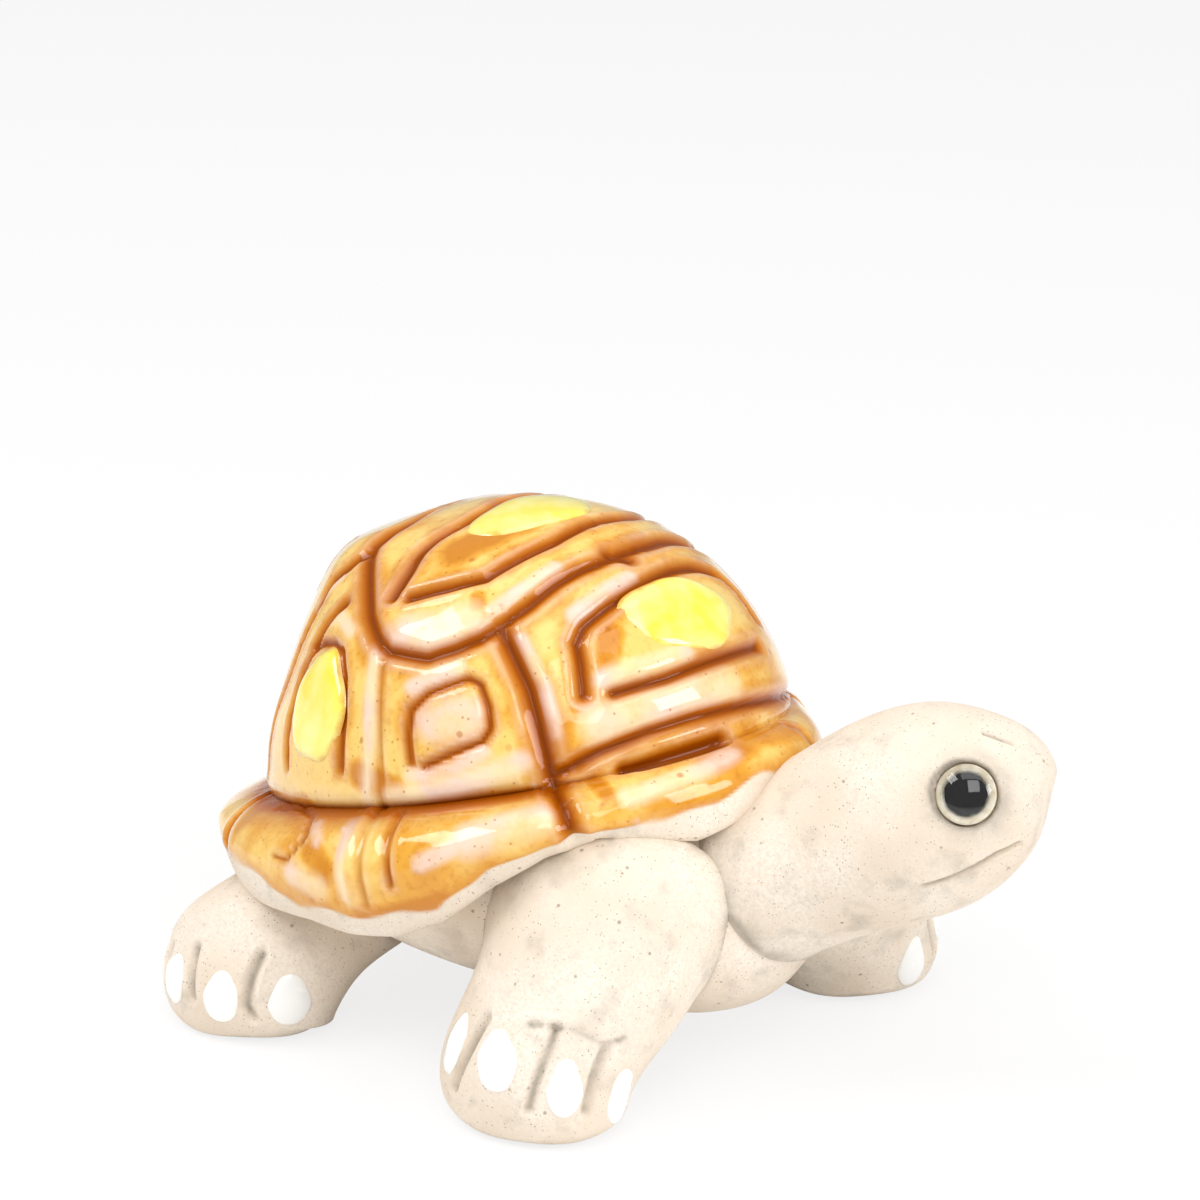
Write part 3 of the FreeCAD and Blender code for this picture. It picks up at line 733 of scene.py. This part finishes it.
def shell_point(around, up):
    """Places on the shell from the angle round it and the angle up the dome; below zero lies the brim."""
    around, up = np.radians(around), np.radians(up)
    turn = np.abs(np.degrees(np.arctan2(np.sin(around), np.cos(around))))
    flare, widest, rim, crease = [np.interp(turn, brim_turns, table)
                                  for table in (brim_flares, brim_widest_drops, rim_drops, brim_creases)]
    signed_turn = turn * np.sign(np.sin(around))
    flare = flare * (1 - far_brim_share * np.exp(-((signed_turn - far_brim_turn) / far_brim_spread) ** 2))
    climb = np.maximum(up, 0)
    behind = np.clip((turn - 95) / 35, 0, 1)
    swell = 1 + behind * sum(share * np.exp(-((np.degrees(climb) - middle_climb) / spread) ** 2)
                             for share, middle_climb, spread in rear_swells)
    under = np.clip(-up / (math.pi / 2), 0, 1)
    first = np.clip(under / 0.25, 0, 1) * math.pi / 2
    second = np.clip((under - 0.25) / 0.25, 0, 1) * math.pi / 2
    third = np.clip((under - 0.5) / 0.5, 0, 1)
    out = np.where(under <= 0.25, -crease + (flare + crease) * np.sin(first),
                   flare - brim_tuck * (1 - np.cos(second)))
    out = np.where(under > 0, out, 0)
    drop = np.where(under <= 0.25, widest * (1 - np.cos(first)), widest + (rim - widest) * np.sin(second))
    drop = np.where(under > 0, drop - under_rise * third, 0)
    length = (dome_half_length * np.cos(climb) * swell + out * mm) * (1 - third)
    width = (dome_half_width * np.cos(climb) * swell + out * mm) * (1 - third)
    height = dome_height * np.sin(climb) * swell - drop * mm
    return np.stack([length * np.cos(around), width * np.sin(around), height], -1)


def on_body(places):
    return places @ shell_axes + np.array(dome_middle)


bpy.ops.mesh.primitive_cube_add(size=2)
shell = bpy.context.object
bpy.ops.object.mode_set(mode="EDIT")
bpy.ops.mesh.select_all(action="SELECT")
bpy.ops.mesh.subdivide(number_cuts=126)
bpy.ops.transform.tosphere(value=1)
bpy.ops.object.mode_set(mode="OBJECT")
round_places = places_of(shell)
round_places /= np.linalg.norm(round_places, axis=1)[:, None]
shell_around = np.degrees(np.arctan2(round_places[:, 1], round_places[:, 0]))
shell_up = np.degrees(np.arcsin(np.clip(round_places[:, 2], -1, 1)))
hand_waves = (16 * mm, 0.3 * mm, 11)
move_to(shell, on_body(shell_point(shell_around, shell_up)))
settle(shell, "carapace_glazed")
push_out(shell, unevenness(places_of(shell), *hand_waves))

plate_line = ((0, 49), (-13, 48.6), (-22, 48), (-31.5, 45.8), (-42, 41.4), (-51, 37.5), (-56, 35.5), (-63, 33.7),
              (-70.5, 32.3), (-76, 33.6), (-82, 35), (-87, 39), (-92, 44), (-97.6, 50), (-108, 58), (-114, 62),
              (-123.5, 71.6), (-160, 78), (-180, 80))
plate_inner_line = ((0, 60.5), (-24, 58), (-41.5, 54.8), (-53, 51), (-66, 50), (-79.5, 48.4))
plate_inner_rear_line = ((-85.6, 49), (-84, 56), (-84, 62.5), (-80, 68), (-67, 74), (-38, 81), (0, 84))
front_seam = ((-51, 37.5), (-49, 30.5), (-47, 22), (-46.6, 13), (-46.3, 4), (-45.8, -5), (-45, -14), (-44.5, -24),
              (-44, -33))
flank_seam = ((-84, 37), (-84.4, 30), (-84.5, 16), (-85.2, 5), (-85.5, -2), (-85, -14), (-84.5, -28))
rear_seam = ((-114, 61), (-118, 56), (-124, 52), (-126, 42), (-129, 30), (-133, 20), (-132, 8), (-134, 0), (-130, -8),
             (-126, -15), (-123, -22))
front_marginal_line = ((-46.3, 2), (-36, 5.4), (-24, 7.3), (-12, 7.6), (0, 6.8), (14, 5), (32, 2.4))
front_panel = ((-35.6, 18.3), (-34.2, 25), (-33.4, 30), (-30, 33.5), (-20.4, 37), (-7.8, 39.5), (8, 40.5), (18.5, 39),
               (28, 35), (31, 29), (29, 22))
front_panel_foot = ((-28.8, 17.2), (-15.7, 17.4), (-2.8, 18), (20, 16.5))
shoulder_panel = ((-75.6, 9.6), (-75.7, 15.9), (-74.6, 21), (-70.3, 24.3), (-60.3, 26.4), (-57.7, 24.8), (-56.6, 19.3),
                  (-56.9, 14.8), (-59.2, 12.2), (-66.9, 10.3), (-72.6, 8.4))
flank_panel = ((-94.3, 9), (-93.3, 20), (-94.6, 29), (-98, 35.4), (-103.3, 37.7), (-109.8, 37.7), (-114, 35.5),
               (-117, 30), (-118, 20), (-116, 9))
flank_panel_brow = ((-106, 47.5), (-108.2, 46), (-111.5, 41.5), (-115, 36.5))
rear_panel = ((-180, 44), (-160, 38), (-155, 30), (-156, 14), (-180, 12))
rear_panel_brow = ((-148, 60), (-146.6, 56.4), (-145.3, 50))
marginal_slot = ((-31, -0.3), (-21.3, 0.6), (-6.5, 0.8))
brow_notch = ((-9, 50), (-4, 46.8))
neck_seam = ((12, -1), (14, -10), (15, -24))
brim_mark = ((-77.5, -5), (-77.7, -14), (-77, -24))
brim_swirl = ((-116, -5), (-108, -3), (-100, -6), (-97, -12), (-100, -18), (-104, -17.5))
flank_seam_cuts = ((-2.2, 0.6, 0.4), (1.9, 1.0, 0.6))
# Pale strokes: partly glaze breaking pale over ridges and seams, and partly painted highlights, the soft box
# reflections on the shoulder plate, the front plates and the front brim.
pale_and_highlight_strokes = ((((-77, 38), (-69, 37.5), (-61, 39.5)), 2.6), (((-85, 36), (-85.4, 16), (-87, 0)), 0.8),
                (((-87, -2), (-87, -9), (-86.2, -26)), 0.7), (((-47, 33), (-44.3, 22), (-44, 12)), 0.9),
                (((-30, 20.5), (-20, 21), (-8, 21.5)), 1.1), (((-81, 2), (-66, 3.5), (-52, 6.5)), 1.2),
                (((-76, 6.5), (-66, 7), (-59, 9.5)), 0.8), (((-74, 26), (-62, 29)), 0.9),
                (((-31, 36.5), (-21, 40), (-10, 42)), 1.0), (((-34, 11), (-18, 12.5), (0, 12)), 2.0),
                (((-33, -14.5), (-20, -12.5), (-9, -9)), 1.2), (((-71, -20), (-62, -17.5)), 0.9),
                (((-62, -17), (-50, -15)), 1.9), (((-98, -21), (-92, -24)), 1.4), (((-96, -8), (-93, -13)), 0.7),
                (((-52, 42), (-42, 46), (-30, 50)), 0.8), (((-69, 18), (-62, 18)), 2.2),
                (((-118, 54), (-126, 46)), 0.9), (((-134, 4), (-128, -8), (-121, -20)), 0.7),
                (((-110, 42), (-104, 44), (-96, 40)), 0.8))
brown_strokes = ((((-38, -2), (-37, -12)), 1.1), (((-13, 1), (-12, -5)), 1.0), (((-94, -15), (-90, -20)), 1.7),
                 (((-84, -31), (-76, -32), (-69, -32)), 1.5), (((-130, -4), (-120, -4), (-108, -2)), 1.7),
                 (((-56, 46), (-56, 44)), 1.0), (((-46, 20), (-45, 0)), 2.6), (((-89, 8), (-80, 4)), 1.6),
                 (((-25, 30), (-29, 22)), 1.6), (((-62, 62), (-30, 68)), 2.6), (((-40, 4), (-8, 7)), 2.0),
                 (((-14, -9), (0, -6), (12, -8)), 2.2), (((-70, -4), (-50, -4)), 1.6))
blisters = ((-51, 36.5), (-76, 3.5), (-97, -8), (-88.5, -4), (-88, -9.5), (-87, -15), (-83, -4), (-82, -8), (-50, 1),
            (-33, -25), (-13, 20.5), (-73, 5.5), (-60, 5))
right_lines = ((plate_line, 1.9), (plate_inner_line, 1.5), (plate_inner_rear_line, 1.7), (front_seam, 2.2),
               (rear_seam, 1.5), (shoulder_panel, 1.15), (flank_panel, 1.3), (rear_panel, 1.4), (brim_mark, 1.0))
lone_lines = ((front_marginal_line, 1.6), (((32, 2.4), (46.3, 2)), 1.6), (front_panel, 1.7), (front_panel_foot, 1.7),
              (flank_panel_brow, 1.4), (rear_panel_brow, 1.1), (marginal_slot, 2.0), (brow_notch, 1.9),
              (neck_seam, 0.8), (brim_swirl, 0.8))
glaze_turns = (0, 20, 30, 35, 45, 60, 65, 70, 80, 100, 105, 112, 120, 130, 140, 180)
glaze_drops = (23, 24, 25, 28.3, 31, 27.6, 30, 34.5, 32.5, 30, 26.5, 22, 22, 26, 32.6, 38)


def shell_line(places, side=1):
    """A line on the shell through places given in degrees round and up, straight from one to the next."""
    turns, climbs = np.radians(np.array(places, dtype=float)).T
    ways = np.stack([np.cos(climbs) * np.cos(turns), side * np.cos(climbs) * np.sin(turns), np.sin(climbs)])
    index = np.arange(len(turns))
    steps = np.linspace(0, len(turns) - 1, 6 * len(turns))
    ways = np.array([np.interp(steps, index, way) for way in ways])
    ways /= np.linalg.norm(ways, axis=0)
    return on_body(shell_point(np.degrees(np.arctan2(ways[1], ways[0])), np.degrees(np.arcsin(ways[2]))))


def carve(line, width, deepness=1.0, bank=0.12):
    """Cuts a round-bottomed groove of a width in millimetres along a line, and raises its edges a little."""
    far = distance_to_line(bare_places, line) / (width * mm / 2)
    depth = groove_depth * deepness * min(1, width / 1.5)
    edge = np.exp(-((far - 1.6) / 0.45) ** 2)
    np.maximum(carved_depth, np.exp(-(far / 0.9) ** 2) * depth, out=carved_depth)
    np.maximum(carved_pool, np.exp(-(far / 2.4) ** 2) * depth / groove_depth, out=carved_pool)
    np.maximum(carved_edge, edge, out=carved_edge)
    np.maximum(carved_bank, edge * bank * mm, out=carved_bank)


def brush(strokes):
    """How strongly each place on the shell is covered by strokes of a line and a half width in millimetres."""
    cover = np.zeros(len(bare_places))
    for stroke, half_width in strokes:
        far = distance_to_line(bare_places, shell_line(stroke)) / (half_width * mm)
        cover = np.maximum(cover, np.clip(1.6 - 1.2 * far, 0, 1))
    return cover


bare_places = places_of(shell)
bare_normals = normals_of(shell)
carved_depth, carved_edge, carved_bank, carved_pool = np.zeros((4, len(bare_places)))
groove_depth, glaze_thick = 0.75 * mm, 0.14 * mm
for side in (1, -1):
    for line, width in right_lines:
        carve(shell_line(line, side), width)
    for lean, width, deepness in flank_seam_cuts:
        carve(shell_line([(turn + lean, climb) for turn, climb in flank_seam], side), width, deepness, 0)
    ridge = np.exp(-(distance_to_line(bare_places, shell_line(flank_seam, side)) / (0.6 * mm)) ** 2)
    carved_edge = np.maximum(carved_edge, ridge)
    carved_bank = np.maximum(carved_bank, ridge * 0.35 * mm)
for line, width in lone_lines:
    carve(shell_line(line), width)
# Pale glaze breaks and painted highlights, with the white blisters, are raised a little and painted pale.
pale_and_highlight = brush(pale_and_highlight_strokes)
carved_bank = np.maximum(carved_bank, 0.16 * mm * pale_and_highlight)
for spot in blisters:
    far = distance_to_line(bare_places, shell_line((spot, spot))) / (0.3 * mm)
    carved_bank = np.maximum(carved_bank, 0.25 * mm * np.exp(-far ** 2))
    pale_and_highlight = np.maximum(pale_and_highlight, np.exp(-(far / 1.1) ** 4))
# The crease between dome and brim is painted dark like a cut, strongly on the sides and back and faintly at the front.
crease_share = np.interp(np.abs(shell_around), (0, 35, 48, 56), (0.15, 0.2, 0.85, 1.0))
below_crease = -1.0 - shell_up
crease_line = np.exp(-(below_crease / np.where(below_crease > 0, 6.5, 2.2)) ** 2) * crease_share
ridge_line = np.exp(-((shell_up - 3.4) / 2.2) ** 2) * (np.abs(shell_around) > 52)
carved_edge = np.maximum(carved_edge, 0.8 * ridge_line) * (1 - carved_depth / groove_depth)
move_to(shell, bare_places + bare_normals * ((carved_bank + 0.25 * mm * ridge_line - carved_depth)[:, None]))
paint(shell, "cut", np.maximum(carved_depth / groove_depth, crease_line))
paint(shell, "edge", carved_edge)
paint(shell, "pale_and_highlight", pale_and_highlight)
# The pool mask also grows darker down the brim, towards its lower edge.
paint(shell, "pool", np.maximum(np.maximum(carved_pool, brush(brown_strokes)), 0.4 * np.clip(-shell_up / 10, 0, 1)))
ragged = unevenness(places_of(shell), 5 * mm, 4.0, 21) + unevenness(places_of(shell), 14 * mm, 3.0, 22)
glaze_end = np.interp(np.abs(shell_around), glaze_turns, glaze_drops) + ragged
glaze_left = glaze_end + shell_up
paint(shell, "glazed", np.clip(glaze_left / 1.4 + 0.5, 0, 1))
paint(shell, "thin", np.exp(-(glaze_left / 4.5) ** 2))
push_out(shell, glaze_thick * np.clip(glaze_left / 2, 0, 1))
# The clay under the rim of the shell is painted darker in a band.
paint(shell, "dirt_and_shade", np.exp(-((shell_up + 46) / 4) ** 2) * 0.5)

glaze, glaze_tree, glaze_shader = new_material("honey_glaze")
honey, honey_pale, honey_deep = linear(230, 166, 56), linear(245, 206, 114), linear(206, 128, 18)
cut_brown, cut_dark = linear(176, 90, 4), linear(116, 46, 0)
break_and_highlight_cream, break_and_highlight_rose = linear(250, 228, 188), linear(242, 216, 204)
glaze_place = object_place(glaze_tree)
cut, edge, thin, glazed, pooled = [read_paint(glaze_tree, name) for name in ("cut", "edge", "thin", "glazed", "pool")]
thick = reckon(glaze_tree, "ADD", pooled, blotches(glaze_tree, glaze_place, 6.0, 0.3, 0.7, -0.35, 0.35, 2))
tone = over(glaze_tree, ramp(glaze_tree, thick, 0.12, 0.5), honey_pale, honey)
tone = over(glaze_tree, ramp(glaze_tree, thick, 0.5, 0.95, 0, 0.9), tone, honey_deep)
speckled = times(glaze_tree, blotches(glaze_tree, glaze_place, 0.7, 0.5, 0.68, detail=4),
                 ramp(glaze_tree, thick, 0.1, 0.8, 0.15, 0.75))
tone = over(glaze_tree, speckled, tone, honey_deep)
edge_mask = times(glaze_tree, edge, blotches(glaze_tree, glaze_place, 4.0, 0.36, 0.56, 0.35, 1.0))
break_and_highlight_tone = over(glaze_tree, blotches(glaze_tree, glaze_place, 9, 0.45, 0.55, detail=1), break_and_highlight_cream, break_and_highlight_rose)
tone = over(glaze_tree, times(glaze_tree, edge_mask, 0.3), tone, break_and_highlight_tone)
# The pale marks, partly painted highlights, take the same cream and rose tone as the glaze breaks.
pale_and_highlight_mask = times(glaze_tree, read_paint(glaze_tree, "pale_and_highlight"),
                  blotches(glaze_tree, glaze_place, 3.0, 0.3, 0.55, 0.5, 1.0, 4))
tone = over(glaze_tree, times(glaze_tree, pale_and_highlight_mask, 0.8), tone, break_and_highlight_tone)
fleck_mask = reckon(glaze_tree, "MAXIMUM", flecks(glaze_tree, glaze_place, 0.6, 0.13),
                    flecks(glaze_tree, glaze_place, 1.6, 0.05))
tone = over(glaze_tree, times(glaze_tree, fleck_mask, 0.55), tone, cut_brown)
tone = over(glaze_tree, ramp(glaze_tree, cut, 0.05, 0.6), tone, cut_brown)
tone = over(glaze_tree, ramp(glaze_tree, cut, 0.55, 1.0, 0, 0.85), tone, cut_dark)
tone = over(glaze_tree, times(glaze_tree, thin, 0.55), tone, honey_deep)
shell_clay = put(glaze_tree, "Group", {"node_tree": clay_body}, {"DirtAndShade": read_paint(glaze_tree, "dirt_and_shade")})
glaze_polish = blotches(glaze_tree, glaze_place, 3.0, 0.3, 0.7, 0.1, 0.22)
glaze_flow = times(glaze_tree, cloud(glaze_tree, glaze_place, 2.6, 2), 3.0)
polish, surface_height = [
    put(glaze_tree, "Mix", {"data_type": "FLOAT"}, {0: glazed, 2: shell_clay.outputs[name], 3: covered}).outputs[0]
    for name, covered in (("Roughness", glaze_polish), ("Height", glaze_flow))]
wire(glaze_tree, glaze_shader, {
    "Base Color": over(glaze_tree, glazed, shell_clay.outputs["Colour"], tone), "Roughness": polish,
    "Coat Weight": times(glaze_tree, glazed, ramp(glaze_tree, cut, 0.1, 0.8, 0.85, 0.2)),
    "Normal": bump(glaze_tree, surface_height, 0.5, 0.1 * mm),
    "Coat Roughness": 0.05, "Specular IOR Level": 0.05, "Coat IOR": 1.55})
stand_for(shell, glaze, "carapace")


# Glaze dabs
# Brushfuls of thick yellow glaze on the front, the top and each flank, laid over the honey glaze
# before the firing. Their edges sink into it and turn amber.
dab_proud, dab_sunk, dab_half_thick = 0.4 * mm, 0.3 * mm, 0.4 * mm
dab_table = ((-0.4, 30.3, 7.7, 4.6, -9), (-12, 73, 7.9, 4.4, 0), (-104, 22.5, 4.6, 6.2, 2),
             (104, 22.5, 4.6, 6.2, -2))
yellow, yellow_tree, yellow_shader = new_material("yellow_glaze")
yellow_place = object_place(yellow_tree)
yellow_tone = over(yellow_tree, blotches(yellow_tree, yellow_place, 3.2, 0.36, 0.64),
                   linear(253, 232, 70), linear(255, 243, 138))
rim = reckon(yellow_tree, "ADD", read_paint(yellow_tree, "rim"),
             blotches(yellow_tree, yellow_place, 1.8, 0.3, 0.7, -0.16, 0.16, 4))
wire(yellow_tree, yellow_shader, {
    "Base Color": over(yellow_tree, ramp(yellow_tree, rim, 0.62, 0.96), yellow_tone, linear(226, 166, 60)),
    "Roughness": blotches(yellow_tree, yellow_place, 2.0, 0.3, 0.7, 0.1, 0.24),
    "Normal": bump(yellow_tree, cloud(yellow_tree, yellow_place, 2.4, 2), 0.5, 0.16 * mm),
    "Coat Weight": 1.0, "Coat Roughness": 0.04})
dome_sizes = np.array((dome_half_length, dome_half_width, dome_height))
drops = []
for turn, climb, half_side, half_up, lean in dab_table:
    deselect()
    bpy.ops.mesh.primitive_uv_sphere_add(segments=72, ring_count=40, radius=1)
    drop = bpy.context.object
    unit = places_of(drop)
    turn, climb, lean = math.radians(turn), math.radians(climb), math.radians(lean)
    way = np.array((math.cos(climb) * math.cos(turn), math.cos(climb) * math.sin(turn), math.sin(climb)))
    side = np.array((-math.sin(turn), math.cos(turn), 0))
    rise = np.cross(way, side)
    around = np.arctan2(unit[:, 1], unit[:, 0])
    wobble = 1 + 0.05 * np.sin(3 * around + turn * 5) + 0.035 * np.sin(5 * around + 1)
    left, high = unit[:, 0] * wobble, unit[:, 1] * wobble
    left, high = left * half_side * mm, high * half_up * mm
    left, high = left * math.cos(lean) - high * math.sin(lean), left * math.sin(lean) + high * math.cos(lean)
    spread_ways = way + (side * left[:, None] + rise * high[:, None]) / dome_height
    spread_ways /= np.linalg.norm(spread_ways, axis=1)[:, None]
    outward = spread_ways / dome_sizes
    outward /= np.linalg.norm(outward, axis=1)[:, None]
    bare = on_body(spread_ways * dome_sizes)
    reach = np.hypot(unit[:, 0], unit[:, 1])
    swell = np.where(unit[:, 2] > 0, (dab_proud + dab_sunk) * (1 - reach ** 8), dab_half_thick * unit[:, 2])
    lifted = swell - dab_sunk + glaze_thick + unevenness(bare, *hand_waves)
    move_to(drop, bare + (outward @ shell_axes) * lifted[:, None])
    paint(drop, "rim", reach ** 3)
    drops.append(drop)
stand_for(settle(join(drops), "yellow_glaze_dabs"), yellow, "glaze_dabs")
